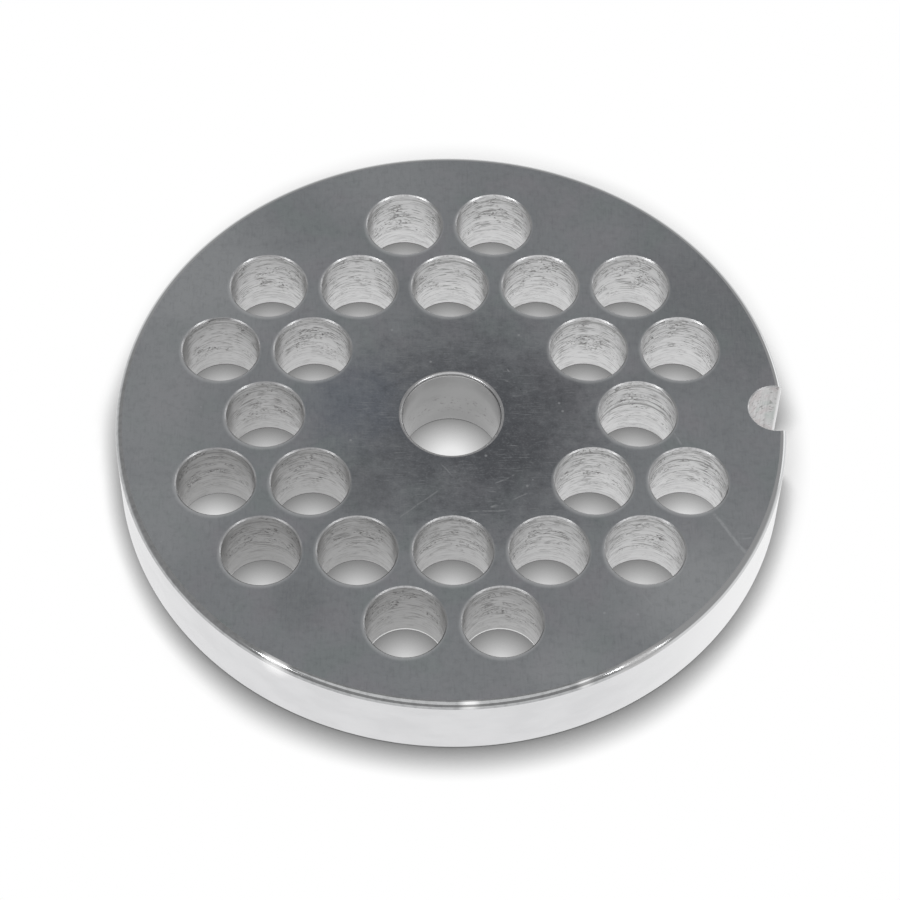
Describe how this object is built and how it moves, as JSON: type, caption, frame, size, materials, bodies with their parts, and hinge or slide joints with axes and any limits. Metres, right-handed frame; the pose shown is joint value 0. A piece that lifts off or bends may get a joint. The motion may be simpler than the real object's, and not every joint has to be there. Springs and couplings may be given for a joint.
{
  "type": "meat grinder plate",
  "caption": "Round steel grinder plate with a plain centre bore, staggered feed holes and a half-round locating notch in the rim.",
  "frame": {"origin": "on the bore's axis, in the plane of the lower face, which is the face that lies on a table", "axes": "+Z along the bore's axis, from the lower face to the upper face; +X along the middle row of feed holes, towards the side with the rim notch, which stands 1.2 degrees round from it"},
  "size_m": [0.0819, 0.082, 0.0098],
  "materials": {
    "ground_steel": "ground faces with a dull mottled polish, brighter rim and rough drilled hole walls"
  },
  "bodies": {
    "root": {"grinder_plate": "ground_steel"}
  },
  "joints": []
}
